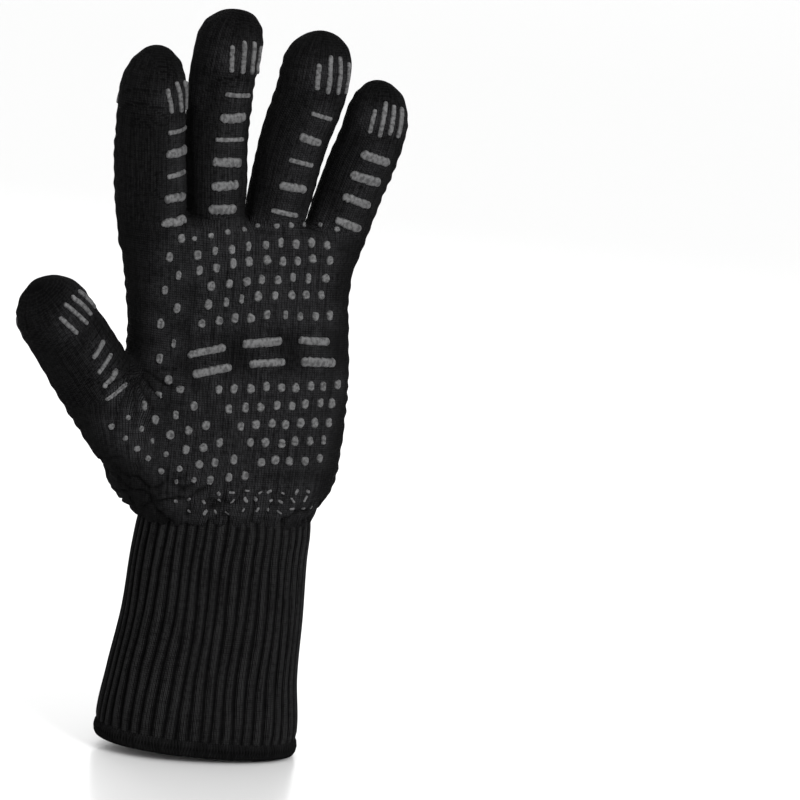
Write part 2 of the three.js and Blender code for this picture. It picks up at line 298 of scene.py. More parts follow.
class Digit:
    """A finger or the thumb: its line, and the directions and sizes along it."""

    def __init__(self, name):
        self.name = name
        self.thumb = name == "thumb"
        self.joints = (
            ["thumb_base_joint", "thumb_tip_joint"]
            if self.thumb
            else [f"{name}_knuckle", f"{name}_middle_joint", f"{name}_tip_joint"]
        )
        pivots = [pivot(joint) for joint in self.joints]
        first = unit(pivots[1] - pivots[0])
        last = unit(pivots[-1] - pivots[-2])
        if self.thumb:
            knots = [pivots[0] - first * THUMB.inside, *pivots, pivots[-1] + last * THUMB.past]
            self.widths = THUMB.halves
            self.deep = THUMB.deep
        else:
            low, high = box_of(f"{name}_tip_knit")
            lean = ((low + high) / 2 - pivots[-1]) * TIP_LEAN
            end = np.array([pivots[-1][0] + lean[0], pivots[-1][1] + lean[1], high[2]])
            root = pivots[0] - first * (pivots[0][2] - CROTCH + ROOT.depth) / first[2]
            knots = [root, *pivots, end]
            folds = [box_of(f"{name}_{zone}_fold") for zone in ("knuckle", "middle", "tip")]
            self.widths = [(high[0] - low[0]) / 2 for low, high in folds]
            self.deep = (folds[1][1][1] - folds[1][0][1]) / 2
        self.make_line(knots)
        self.at_joint = [self.nearest(p[None])[0][0] for p in pivots]
        self.axis = axis_of(self.joints[0])
        self.cap = DOMES[name]
        self.cap_shift = DOME_SHIFTS[name]

    def make_line(self, knots):
        """Points of a smooth curve through the knots, with the same step all along."""
        knots = np.array(knots)
        before, after = 2 * knots[0] - knots[1], 2 * knots[-1] - knots[-2]
        padded = np.vstack([before, knots, after])
        t = np.linspace(0, 1, 200, endpoint=False)[:, None]
        pieces = []
        for a, b, c, d in zip(padded, padded[1:], padded[2:], padded[3:]):
            pieces.append(
                b
                + t * (c - a) / 2
                + t**2 * (2 * a - 5 * b + 4 * c - d) / 2
                + t**3 * (3 * b - a - 3 * c + d) / 2
            )
        fine = np.vstack([*pieces, knots[-1]])
        lengths = np.r_[0, np.cumsum(np.linalg.norm(np.diff(fine, axis=0), axis=1))]
        self.length = lengths[-1]
        self.s = np.arange(0, self.length, LINE_STEP)
        self.line = sampled(self.s, lengths, fine)
        self.tangents = units(np.gradient(self.line, axis=0))

    def frame_at(self, s):
        """Centre, direction, front and side at distances s along the line."""
        s = np.atleast_1d(s)
        along = units(sampled(s, self.s, self.tangents))
        side = units(self.axis - along * (along @ self.axis)[:, None])
        return sampled(s, self.s, self.line), along, np.cross(side, along), side

    def half(self, s):
        if self.thumb:
            return np.interp(s, np.array(THUMB.places) * self.length, self.widths)
        places = [0, *self.at_joint]
        return np.interp(s, places, [self.widths[0] * ROOT.width, *self.widths])

    def nearest(self, points):
        """Distance along the line and off it, for each point."""
        best_s = np.zeros(len(points))
        best_d = np.full(len(points), np.inf)
        for s, p in zip(self.s[::4], self.line[::4]):
            d = np.linalg.norm(points - p, axis=1)
            closer = d < best_d
            best_s[closer], best_d[closer] = s, d[closer]
        return best_s, best_d

    def ring(self, s, shrink=1.0, shift=0.0, sides=56):
        centre, _, front, side = (v[0] for v in self.frame_at(s))
        x, y = superellipse(np.arange(sides) * 2 * math.pi / sides, FINGER_POWER)
        wide, deep = self.half(s) * shrink, self.deep * shrink
        points = centre + side * shift + np.outer(y * wide, -side) + np.outer(x * deep, front)
        return points if self.thumb else keep_apart(self, points)

    def solid(self):
        dome = self.length - self.cap
        rings = [self.ring(s) for s in np.arange(0, dome, RING_STEP)]
        for angle in np.linspace(0, math.pi / 2 * ROUNDING.share, ROUNDING.rings):
            rise = math.sin(angle)
            rings.append(self.ring(dome + self.cap * rise, math.cos(angle), self.cap_shift * rise**2))
        return skin(rings)

    def zones(self):
        """For each joint, where the fabric's bend starts and ends along the line."""
        spans = []
        for i, joint in enumerate(self.joints):
            length = BEND_LENGTH * bend_of(joint) * self.deep
            before = length * (KNUCKLE_BEFORE if i == 0 else 0.5)
            spans.append((self.at_joint[i] - before, self.at_joint[i] - before + length))
        return spans

    def borders(self):
        """Where each of the digit's pieces starts along the line."""
        spans = self.zones()
        starts = [spans[0][0] - BEFORE_BEND]
        starts += [(a[1] + b[0]) / 2 for a, b in zip(spans, spans[1:])]
        return starts


digits = {name: Digit(name) for name in DIGITS}
NEIGHBOURS = [(digits[left], digits[right]) for left, right in zip(FINGERS, FINGERS[1:])]


def past_gap(left, right, points):
    """How far points are past the middle of the gap between two fingers, and the way across it."""
    places = [np.interp(points[:, 2], d.line[:, 2], d.s) for d in (left, right)]
    start, end = left.frame_at(places[0])[0], right.frame_at(places[1])[0]
    halves = left.half(places[0]), right.half(places[1])
    across = (end - start) * (1, 1, 0)
    reach = np.linalg.norm(across, axis=1)
    across /= reach[:, None]
    middle = reach * halves[0] / (halves[0] + halves[1])
    return np.sum((points - start) * across, axis=1) - middle, across


def keep_apart(finger, points):
    """Moves a finger's points out of the gaps beside it. A gap opens above the crotch."""
    for left, right in NEIGHBOURS:
        if finger not in (left, right):
            continue
        past, across = past_gap(left, right, points)
        away = 1 if finger is right else -1
        opened = ramp((points[:, 2] - CROTCH) / GAP.rise)
        short = np.maximum(GAP.width / 2 * opened - away * past, 0) * (opened > 0)
        points = points + across * (away * short)[:, None]
    return points


def clear_of_gaps(points):
    """1 for points away from the gaps between the fingers, and down to 0 beside a gap."""
    clear = np.ones(len(points))
    for left, right in NEIGHBOURS:
        past, _ = past_gap(left, right, points)
        beside = ramp((np.abs(past) - GAP.width / 2) / GAP.beside)
        clear = np.minimum(clear, np.where(points[:, 2] > CROTCH - GAP.below, beside, 1))
    return clear


# ---- The knitted hand: one closed surface, cut into pieces where the hand bends ----

# The palm's lowest level, how far above it the fabric starts, the points round the palm, its rings'
# distances up to a level and above it, and the size of the remesh that joins it to the digits.
PALM_BOTTOM = PALM_LEVELS[0][3]
PALM_OPEN = 0.6
PALM_SIDES = 140
PALM_RINGS = Sizes(fine=1.0, level=120, coarse=3.0)
VOXEL = 1.0


def palm_solid():
    lower = np.arange(PALM_BOTTOM, PALM_RINGS.level, PALM_RINGS.fine)
    heights = np.r_[lower, np.arange(PALM_RINGS.level, CROTCH, PALM_RINGS.coarse), CROTCH]
    angle = np.arange(PALM_SIDES) * 2 * math.pi / PALM_SIDES
    x, y = superellipse(angle, PALM_POWER)
    rings = []
    for (half, deep, shift), z in zip(smooth_levels(PALM_LEVELS, heights), heights):
        faded = max(0, min(1, (TILT.top - z) / TILT.fade))
        tilt = TILT.half * min(1, (z - PALM_BOTTOM) / TILT.rise) * faded
        ring = np.column_stack([x * half + WRIST[0] + shift, y * deep + WRIST[1], z + x * tilt])
        rings.append(ring)
    return skin(rings)


def union_mesh():
    """One closed mesh over the palm and the digits."""
    points, faces = [], []
    for part_points, part_faces in [palm_solid(), *(d.solid() for d in digits.values())]:
        base = sum(len(p) for p in points)
        points.append(part_points)
        faces += [tuple(base + i for i in face) for face in part_faces]
    made = mesh_object("hand_source", np.concatenate(points), faces)
    remesh = made.modifiers.new("remesh", "REMESH")
    remesh.mode = "VOXEL"
    remesh.voxel_size = VOXEL * MM
    return evaluated(made)


def relax(points, edges, weight, rounds):
    """Moves each point towards its neighbours' middle by its weight, some rounds over."""
    a, b = edges[:, 0], edges[:, 1]
    count = np.bincount(a, minlength=len(points)) + np.bincount(b, minlength=len(points))
    for _ in range(rounds):
        total = np.empty_like(points)
        for k in range(3):
            total[:, k] = np.bincount(a, points[b, k], len(points))
            total[:, k] += np.bincount(b, points[a, k], len(points))
        points = points + (total / count[:, None] - points) * weight[:, None]
    return points


def crotch_points():
    """The points between neighbouring fingers, at the palm's upper edge."""
    found = []
    for a, b in NEIGHBOURS:
        sa, sb = (np.interp(CROTCH, d.line[:, 2], d.s) for d in (a, b))
        pa, pb = a.frame_at(sa)[0][0], b.frame_at(sb)[0][0]
        share = a.half(sa) / (a.half(sa) + b.half(sb))
        found.append(pa + (pb - pa) * share)
    return found


def thumb_web():
    """The point where the thumb's inner edge leaves the palm's edge."""
    thumb = digits["thumb"]
    start, end = (thumb.length * share for share in THUMB.web)
    s = np.arange(start, end, 1.0)
    centre, _, _, side = thumb.frame_at(s)
    edge = centre + side * thumb.half(s)[:, None]
    half, _, shift = smooth_levels(PALM_LEVELS, edge[:, 2]).T
    outside = WRIST[0] + shift - half > edge[:, 0]
    return edge[np.argmax(outside)]


def wobble(points, size, seed):
    """Smooth noise at the points, with swings of about a size, and another one for each seed."""
    offset = Vector((seed * 17.3, seed * 5.1, seed * 9.7))
    return np.array([noise.noise(Vector(p / size) + offset) for p in points])


# Relaxing: its weight and rounds over the whole hand, and then near its joins. Those reach this far
# round a crotch, round the thumb's web, and above and below the fingers' roots, and over the ball
# of the thumb up to a share of its line and from this far off it.
RELAX_ALL = (0.5, 8)
RELAX_JOINS = (0.6, 40)
RELAXED = Sizes(crotch=8, web=13, roots=7, roots_weight=0.8)
THUMB_BALL = Sizes(share=0.45, core=10, weight=0.55)

# The fabric's slow and quick unevenness: over what distance, and how high.
UNEVEN = ((26, 0.9), (8, 0.4))


def join_weights(points):
    """1 at the webs between the digits, less round them and at the fingers' and thumb's roots."""
    near = np.zeros(len(points))
    webs = [(web, RELAXED.crotch) for web in crotch_points()] + [(thumb_web(), RELAXED.web)]
    for web, reach in webs:
        gap = np.linalg.norm((points - web)[:, (0, 2)], axis=1)
        near = np.maximum(near, fall(gap, reach))
    thumb = digits["thumb"]
    s, away = thumb.nearest(points)
    ball = (s < thumb.length * THUMB_BALL.share) & (away > THUMB_BALL.core)
    near = np.maximum(near, np.where(ball, THUMB_BALL.weight, 0))
    return np.maximum(near, fall(points[:, 2] - CROTCH, RELAXED.roots) * RELAXED.roots_weight)


def hand_mesh():
    mesh = union_mesh()
    points = points_of(mesh)
    edges = np.empty(len(mesh.edges) * 2, dtype=np.int32)
    mesh.edges.foreach_get("vertices", edges)
    edges = edges.reshape(-1, 2)
    weight, rounds = RELAX_ALL
    points = relax(points, edges, np.full(len(points), weight), rounds)
    weight, rounds = RELAX_JOINS
    points = relax(points, edges, join_weights(points) * weight, rounds)
    move_points(mesh, points)
    normals = normals_of(mesh)
    swell = sum(wobble(points, size, i + 1) * high for i, (size, high) in enumerate(UNEVEN))
    swell += edge_ripple(points, normals) + gathers(points)
    swell -= heel_creases(points) + web_creases(points)
    points = points + normals * (swell * clear_of_gaps(points))[:, None]
    move_points(mesh, points)
    return mesh


# The height of the gathers, the level where they end, and the distance over which they come in.
GATHERS = Sizes(high=0.5, top=126, fade=16)


def gathers(points):
    """Upright folds where the palm's knit is drawn in to the ribs of the cuff."""
    drawn = ramp((GATHERS.top - points[:, 2]) / GATHERS.fade)
    turn = points[:, 0] / (RIB_WALES * WALE) + wobble(points, 14, 5) * 0.5
    return GATHERS.high * np.cos(turn * 2 * math.pi) * drawn


# The heel's creases end at this top, which slopes from the wrist's axis, and come in over the fade.
# They follow the zero line of a noise of this size, as far as it is near to zero by their width.
HEEL_CREASES = Sizes(depth=1.7, top=127, slope=0.15, fade=8, size=9, width=0.11)


def heel_creases(points):
    """The depth of winding creases above the cuff, which reach higher on the thumb's side."""
    top = HEEL_CREASES.top - HEEL_CREASES.slope * (points[:, 0] - WRIST[0])
    crumpled = ramp((top - points[:, 2]) / HEEL_CREASES.fade)
    return HEEL_CREASES.depth * crumpled * fall(wobble(points, HEEL_CREASES.size, 7), HEEL_CREASES.width)


# The fan of the creases at the thumb's web is half their number in a full turn.
WEB_CREASES = Sizes(depth=1.6, reach=24, fan=7, width=0.12)


def web_creases(points):
    """The depth of a fan of creases that run out from the web of the thumb over both faces."""
    off = (points - thumb_web())[:, (0, 2)]
    away = np.linalg.norm(off, axis=1)
    turn = np.arctan2(off[:, 0], -off[:, 1]) + wobble(points, 14, 6) * 0.25
    depth = ramp(away / 7) * fall(away, WEB_CREASES.reach) * (off[:, 1] < 2)
    return WEB_CREASES.depth * depth * np.exp(-(np.sin(turn * WEB_CREASES.fan) ** 2) / WEB_CREASES.width)


RIPPLES = Sizes(high=0.42, pitch=6.2)


def edge_ripple(points, normals):
    """Small even ripples down the narrow sides of the fingers and the palm."""
    ripple = np.sin(points[:, 2] * 2 * math.pi / RIPPLES.pitch + wobble(points, 20, 3) * 3)
    sideways = ramp(np.abs(normals[:, 0]) * 1.6 - 0.6)
    return RIPPLES.high * ripple * sideways * (0.6 + 0.8 * wobble(points, 15, 4))


hand = hand_mesh()
hand_points = points_of(hand)
hand_faces = [tuple(p.vertices) for p in hand.polygons]
hand_tree = BVHTree.FromPolygons([tuple(p) for p in hand_points], hand_faces)
hand_normals = normals_of(hand)


# How far off its line a finger's and the thumb's surface can be, and how far below the crotch a
# finger's can start.
FINGER_REACH = 21
THUMB_REACH = 24
FINGER_BELOW = 4


def place_of(points):
    """Which digit each point is on, or -1 for the palm, and how far along its line."""
    owner = np.full(len(points), -1)
    along = np.zeros(len(points))
    closest = np.full(len(points), np.inf)
    for i, digit in enumerate(digits.values()):
        s, away = digit.nearest(points)
        reach = THUMB_REACH if digit.thumb else FINGER_REACH
        start = digit.borders()[0]
        mine = (s > start) & (away < reach) & (away < closest)
        if not digit.thumb:
            mine &= points[:, 2] > CROTCH - FINGER_BELOW
        owner[mine], along[mine], closest[mine] = i, s[mine], away[mine]
    return owner, along


def zone_of(owner, along):
    """The number of the piece, from 0 at the palm's end, that each place on a digit is in."""
    zone = np.zeros(len(owner), int)
    for i, digit in enumerate(digits.values()):
        for number, start in enumerate(digit.borders()):
            zone[(owner == i) & (along > start)] = number
    return zone


# ---- Stitch coordinates: wales across, courses along ----

# The palm's narrow sides, as shares of its half width: where they start, and over how much more
# the depth comes to count.
SIDE_START = 0.5
SIDE_FADE = 0.4


def palm_stitches(points):
    """Upright wales over both faces of the palm, which are counted on round its narrow sides."""
    heights = np.clip(points[:, 2], PALM_BOTTOM, CROTCH)
    half, deep, _ = smooth_levels(PALM_LEVELS, heights).T
    x = points[:, 0] - WRIST[0]
    side = ramp((np.abs(x) / half - SIDE_START) / SIDE_FADE)
    around = np.abs(x) + (deep - np.abs(points[:, 1] - WRIST[1])) * side**2 * (3 - 2 * side)
    return np.column_stack([np.sign(x) * around / WALE, points[:, 2] / COURSE])


def digit_stitches(digit, points):
    s, _ = digit.nearest(points)
    centre, _, front, side = digit.frame_at(s)
    off = points - centre
    angle = np.arctan2(np.sum(off * side, axis=1), np.sum(off * front, axis=1))
    wales = round(math.pi * (digit.half(digit.length * 0.6) + digit.deep) / WALE)
    return np.column_stack([angle / (2 * math.pi) * wales, s / COURSE]), wales


def write_stitches(mesh, values):
    layer = mesh.uv_layers.new(name="stitches")
    layer.data.foreach_set("uv", values.astype(np.float32).ravel())


# ---- Pieces of the hand ----

def part_surface(chosen, owner_index):
    """A piece of the hand's surface: its points' numbers, its faces and their stitch values."""
    faces = [hand_faces[i] for i in chosen]
    used = np.unique(np.concatenate([np.array(f) for f in faces]))
    renumber = {int(old): new for new, old in enumerate(used)}
    if owner_index < 0:
        values, wales = palm_stitches(hand_points[used]), math.inf
    else:
        digit = list(digits.values())[owner_index]
        values, wales = digit_stitches(digit, hand_points[used])
    return used, [tuple(renumber[v] for v in f) for f in faces], values, wales


def corner_values(faces, values, wales):
    """The stitch values at the faces' corners, with no face across the start of a round."""
    found = []
    for face in faces:
        corners = values[[v % len(values) for v in face]]
        if np.ptp(corners[:, 0]) > wales / 2:
            corners[corners[:, 0] < 0, 0] += wales
        found.append(corners)
    return np.concatenate(found)


def fabric_piece(name, chosen, owner_index):
    """A piece of fabric with two sides and a rim, shaded as part of the whole hand."""
    used, faces, values, wales = part_surface(chosen, owner_index)
    normals = hand_normals[used]
    outer = hand_points[used]
    count = len(used)
    sides = {}
    for face in faces:
        for a, b in zip(face, face[1:] + face[:1]):
            sides[a, b] = True
    rim = [(b, a, a + count, b + count) for a, b in sides if (b, a) not in sides]
    inner = [tuple(v + count for v in reversed(face)) for face in faces]
    every = faces + inner + rim
    made = mesh_object(name, np.concatenate([outer, outer - normals * FABRIC]), every)
    write_stitches(made.data, corner_values(every, values, wales))
    layer = made.data.attributes.new("wear_and_crease_shade", "FLOAT", "POINT")
    layer.data.foreach_set("value", np.tile(wear_and_crease_shade[used], 2).astype(np.float32))
    made.data.normals_split_custom_set_from_vertices(np.concatenate([normals, -normals]).tolist())
    return made


def thicken(made, thickness):
    """Gives a piece of fabric its thickness, inwards from its surface."""
    solid = made.modifiers.new("thickness", "SOLIDIFY")
    solid.thickness = thickness * MM
    solid.offset = -1
    solid.use_quality_normals = True
    return add_object(made.name, evaluated(made))


def bend_points(digit, number):
    """The start and end of a digit's bend, in metres."""
    low, high = digit.zones()[number]
    middle = digit.at_joint[number]
    centre, along, _, _ = (v[0] for v in digit.frame_at(middle))
    axis = axis_of(digit.joints[number])
    along = unit(along - axis * (along @ axis))
    return [tuple((centre + along * (end - middle)) * MM) for end in (low, high)]


def carry(made, place):
    """Makes a piece on the palm follow the hand. A piece on a digit only has its transform baked into
    its mesh: the ends of its bend are found, but it is not bent.
    """
    if place == "palm":
        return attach(made, "hand")
    digit, number = place
    start, end = bend_points(digit, number)
    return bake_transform(made)


ZONE_NAMES = {"thumb": ("base", "tip")} | {name: ("knuckle", "middle", "tip") for name in FINGERS}
CHILD_NAMES = {"knuckle": "proximal", "base": "proximal", "middle": "middle", "tip": "tip"}


# ---- Materials ----

class Nodes:
    """A material's node tree, with short calls to add to it."""

    def __init__(self, name):
        self.material = bpy.data.materials.new(name)
        self.material.use_nodes = True
        self.tree = self.material.node_tree
        self.shader = self.tree.nodes["Principled BSDF"]

    def put(self, node, sockets):
        """Gives sockets of a node their values, each a link or plain."""
        for key, value in sockets.items():
            if isinstance(value, bpy.types.NodeSocket):
                self.tree.links.new(value, node.inputs[key])
            else:
                node.inputs[key].default_value = value

    def shade(self, sockets):
        self.put(self.shader, sockets)
        return self.material

    def add(self, kind, sockets, **settings):
        node = self.tree.nodes.new(kind)
        for key, value in settings.items():
            setattr(node, key, value)
        self.put(node, sockets)
        return node

    def math(self, operation, a, b=0.0, c=0.0):
        return self.add("ShaderNodeMath", {0: a, 1: b, 2: c}, operation=operation).outputs[0]

    def times(self, a, b):
        return self.math("MULTIPLY", a, b)

    def scaled(self, value, gain, least):
        return self.math("MULTIPLY_ADD", value, gain, least)

    def from_half(self, value):
        """How far a value is from a half."""
        return self.math("ABSOLUTE", self.math("SUBTRACT", value, 0.5))

    def stitches(self):
        """The stitch coordinates: both, and those across and along the wales."""
        both = self.add("ShaderNodeUVMap", {}, uv_map="stitches").outputs[0]
        split = self.add("ShaderNodeSeparateXYZ", {0: both})
        return both, split.outputs[0], split.outputs[1]

    def noise(self, coordinates, scale, detail=2.0, stretch=(1, 1, 1)):
        place = self.add("ShaderNodeMapping", {"Vector": coordinates, "Scale": stretch}).outputs[0]
        sockets = {"Vector": place, "Scale": scale, "Detail": detail}
        return self.add("ShaderNodeTexNoise", sockets).outputs["Fac"]

    def mix(self, amount, first, second):
        sockets = {0: amount, 6: first, 7: second}
        return self.add("ShaderNodeMix", sockets, data_type="RGBA").outputs[2]

    def bump(self, height, strength, distance):
        sockets = {"Strength": strength, "Distance": distance, "Height": height}
        return self.add("ShaderNodeBump", sockets).outputs[0]


def knit_material(name, dark, light, rubbed=None, ribs=False, sheen=0.005, relief=0.35, slant=1.3):
    """Plain knit: columns of small V shapes, a little uneven, with fuzz between them. An attribute of
    a piece says where its yarn is rubbed lighter near the pads, with painted shade in the creases.
    Ribs are four wales wide, with a painted highlight on each crown and painted shade in its grooves."""
    nodes = Nodes(name)
    both, across, along = nodes.stitches()
    drift = nodes.noise(both, 0.35, 2, (1, 0.25, 1))
    across = nodes.math("ADD", across, nodes.times(drift, 0.5))
    offset = nodes.from_half(nodes.math("FRACT", across))
    # The two legs of each V, and the loop that each course repeats.
    leg = nodes.times(nodes.math("ABSOLUTE", nodes.math("SUBTRACT", offset, 0.25)), 4)
    leg = nodes.math("SUBTRACT", 1, nodes.math("POWER", leg, 2))
    course = nodes.math("FRACT", nodes.math("ADD", along, nodes.times(offset, slant)))
    loop = nodes.times(nodes.from_half(course), 2)
    loop = nodes.math("SUBTRACT", 1, nodes.math("POWER", loop, 2))
    stitch = nodes.times(leg, nodes.scaled(loop, 0.6, 0.4))
    fuzz = nodes.noise(both, 2.6, 3)
    patches = nodes.noise(both, 0.03, 2)
    streaks = nodes.noise(both, 1.0, 2, (1.1, 0.045, 1))
    grain = nodes.noise(both, 0.55, 2)
    # The dark groove between two wales, and the gap between two courses where the knit is pulled.
    groove = nodes.math("POWER", nodes.times(offset, 2), 5)
    course_gap = nodes.from_half(nodes.math("FRACT", along))
    course_gap = nodes.math("POWER", nodes.times(course_gap, 2), 3)
    pulled = nodes.times(course_gap, nodes.noise(both, 0.06, 1))
    # What the yarn's tone varies with: how much, and the tone where there is none of it.
    variations = (
        (fuzz, 0.9, 0.35),
        (patches, 0.9, 0.55),
        (streaks, 2.4, -0.2),
        (grain, 2.2, -0.1),
        (groove, -1.0, 1.25),
        (pulled, -1.5, 1.2),
    )
    tone = stitch
    for source, gain, least in variations:
        tone = nodes.times(tone, nodes.scaled(source, gain, least))
    # Painted light and shade on the ribs: each crown is made lighter and the groove between two ribs
    # darker.
    if ribs:
        phase = nodes.math("FRACT", nodes.math("DIVIDE", across, RIB_WALES))
        ridge = nodes.math("POWER", nodes.math("SINE", nodes.times(phase, math.pi)), 1.6)
        tone = nodes.times(tone, nodes.scaled(ridge, 1.35, 0.08))
    colour = nodes.mix(tone, dark, light)
    # Near the pads the yarn is mixed towards the lighter rubbed colour. In the creases that mix is held
    # back, which is painted shade.
    if rubbed:
        wear_and_shade_here = nodes.add("ShaderNodeAttribute", {}, attribute_name="wear_and_crease_shade").outputs["Fac"]
        mottle = nodes.times(wear_and_shade_here, nodes.scaled(fuzz, 1.2, 0.4))
        colour = nodes.mix(mottle, colour, nodes.mix(tone, dark, rubbed))
    height = nodes.math("ADD", stitch, nodes.times(fuzz, 0.35))
    height = nodes.math("SUBTRACT", height, groove)
    return nodes.shade({
        "Base Color": colour,
        "Normal": nodes.bump(height, 0.9, relief * MM),
        "Roughness": 0.95,
        "Specular IOR Level": 0.01,
        "Sheen Weight": sheen,
        "Sheen Roughness": 0.5,
        "Sheen Tint": (0.75, 0.75, 0.78, 1),
    })


def silicone_material():
    """Printed silicone: dark grey, dull, with fine pits and blotches where it is thin."""
    nodes = Nodes("printed_silicone")
    both, _, _ = nodes.stitches()
    grain = nodes.noise(both, 1.8, 3)
    cloud = nodes.noise(both, 0.12, 2)
    tone = nodes.scaled(grain, 0.5, nodes.times(cloud, 0.5))
    thin = nodes.noise(both, 0.75, 2, (1, 0.6, 1))
    thin = nodes.scaled(thin, -5.0, 3.3)
    thin = nodes.math("MINIMUM", nodes.math("MAXIMUM", thin, 0.25), 1)
    tone = nodes.times(tone, thin)
    return nodes.shade({
        "Base Color": nodes.mix(tone, (0.014, 0.014, 0.0145, 1), (0.13, 0.13, 0.132, 1)),
        "Roughness": nodes.scaled(grain, 0.25, 0.42),
        "Normal": nodes.bump(grain, 0.5, 0.1 * MM),
        "Specular IOR Level": 0.25,
    })


BLACK = (0.0006, 0.0006, 0.00065, 1)
KNIT = knit_material("black_knit", BLACK, (0.0085, 0.0085, 0.0087, 1), (0.026, 0.026, 0.0273, 1))
# The rib knit's lighter tone carries the painted highlight on the ribs' crowns.
RIB = knit_material("black_rib_knit", BLACK, (0.017, 0.017, 0.0173, 1), ribs=True)
HEM = knit_material("black_overlock", BLACK, (0.013, 0.013, 0.0132, 1), relief=0.5, slant=0.4)
LINING = knit_material("grey_cotton_lining", (0.03, 0.03, 0.031, 1), (0.08, 0.08, 0.083, 1), sheen=0.1)
SILICONE = silicone_material()


def finish_piece(made, material, slot, *nodes):
    made.data.materials.clear()
    made.data.materials.append(material)
    if nodes:
        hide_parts(*nodes)
    return made


# ---- The knit shell and the lining ----

def lining_piece(name, chosen, owner_index):
    """A coarser piece, further in, with a thickness of its own."""
    used, faces, values, wales = part_surface(chosen, owner_index)
    lining = mesh_object(name, hand_points[used], faces)
    write_stitches(lining.data, corner_values(faces, values, wales))
    inner = points_of(lining.data) - normals_of(lining.data) * LINER.inset
    move_points(lining.data, inner)
    fewer = lining.modifiers.new("fewer", "DECIMATE")
    fewer.ratio = LINER.faces
    return thicken(add_object(name, evaluated(lining)), LINER.thick)


def make_shell():
    centres = np.array([hand_points[list(f)].mean(axis=0) for f in hand_faces])
    owner, along = place_of(centres)
    zone = zone_of(owner, along)
    palm_faces = np.flatnonzero((owner < 0) & (centres[:, 2] > PALM_BOTTOM + PALM_OPEN))
    lining = lining_piece("palm_lining", palm_faces, -1)
    carry(finish_piece(lining, LINING, "liner", "palm_liner"), "palm")
    shell = fabric_piece("palm_shell", palm_faces, -1)
    carry(finish_piece(shell, KNIT, "knit", "palm_knit"), "palm")
    for index, digit in enumerate(digits.values()):
        for number, zone_name in enumerate(ZONE_NAMES[digit.name]):
            chosen = np.flatnonzero((owner == index) & (zone == number))
            name = f"{digit.name}_{zone_name}"
            segment = f"{digit.name}_{CHILD_NAMES[zone_name]}"
            lining = lining_piece(f"{name}_lining", chosen, index)
            carry(finish_piece(lining, LINING, "liner", f"{segment}_liner"), (digit, number))
            shell = fabric_piece(f"{name}_shell", chosen, index)
            finish_piece(shell, KNIT, "knit", f"{segment}_knit", f"{name}_fold")
            carry(shell, (digit, number))


# ---- Silicone print ----

# The rise of a print's side, from its foot to its crown: share of its half width, and height.
# A dot's crown is a little hollow.
BAR_PROFILE = ((1.02, -0.45), (1.0, 0.15), (0.93, 0.55), (0.72, 0.88), (0.4, 1.0), (0.15, 0.98))
DOT_PROFILE = ((1.02, -0.45), (1.0, 0.2), (0.9, 0.7), (0.7, 1.0), (0.42, 0.9), (0.15, 0.62))

# A pad's outline: the length of its steps, its least straight part, the points in each round end,
# and how much its edge strays, as a share of its half width.
PAD = Sizes(step=1.1, least=0.06, arc=8, uneven=0.3)
random.seed(7)


def settle(spot, core):
    """The place of a spot on the hand's surface: the nearest, or straight out from a digit's line."""
    if core is None:
        hit, facing, _, _ = hand_tree.find_nearest(Vector(spot))
    else:
        centre, along = core
        inside = centre + along * ((spot - centre) @ along)
        hit, facing, _, _ = hand_tree.ray_cast(Vector(inside), Vector(spot - inside))
    return np.array(hit), np.array(facing)


class Print:
    """Silicone pads of one piece of the glove, gathered into one mesh."""

    def __init__(self):
        self.points, self.faces, self.values = [], [], []

    def pad(self, centre, normal, direction, size, profile, core=None):
        """A pad with round ends, laid on the surface along a direction. The core is the centre
        and the direction of the digit's line, for a pad on a digit."""
        length, width, height = size
        normal = unit(np.array(normal))
        along = unit(direction - normal * (direction @ normal))
        across = np.cross(normal, along)
        straight = max(length - width, PAD.least) / 2
        steps = max(1, round(2 * straight / PAD.step))
        side = np.linspace(straight, -straight, steps + 1)[1:-1]
        arc = np.linspace(-math.pi / 2, math.pi / 2, PAD.arc)
        outline = [(straight, math.cos(a), math.sin(a)) for a in arc]
        outline += [(u, 0, 1) for u in side]
        outline += [(-straight, -math.cos(a), -math.sin(a)) for a in arc]
        outline += [(-u, 0, -1) for u in side]
        base = len(self.points)
        seed = random.random() * 90
        for share, rise in profile:
            for u0, u1, v1 in outline:
                uneven = 1 + PAD.uneven * noise.noise(Vector((u0 + u1, v1, seed)))
                reach = width / 2 * share * uneven
                u, v = u0 + u1 * reach, v1 * reach
                place, facing = settle(centre + along * u + across * v, core)
                self.points.append(place + facing * rise * height)
                self.values.append((u + seed, v + seed))
        self.faces += bands(len(profile), len(outline), base)
        self.close_top(len(self.points) - len(outline), len(side))

    def close_top(self, top, between):
        """Closes a pad's crown with a strip from side to side, and a fan at each end."""
        half = PAD.arc + between
        for i in range(PAD.arc // 2 - 1):
            a, b = top + i, top + PAD.arc - 1 - i
            self.faces.append((a, a + 1, b - 1, b))
            self.faces.append((a + half, a + half + 1, b + half - 1, b + half))
        for i in range(between + 1):
            a, b = top + PAD.arc - 1 + i, top + (2 * half - i) % (2 * half)
            c = top + (2 * half - i - 1) % (2 * half)
            self.faces.append((a, a + 1, c, b))

    def finished(self, name):
        made = mesh_object(name, self.points, self.faces)
        write_stitches(made.data, np.array(self.values)[corners_of(self.faces)])
        return made


# The prints by the piece that they are on, and the place of every pad.
prints = {}
pad_centres = []


def shoot(origin, direction):
    hit, normal, _, _ = hand_tree.ray_cast(Vector(origin), Vector(direction))
    return (None, None) if hit is None else (np.array(hit), np.array(normal))


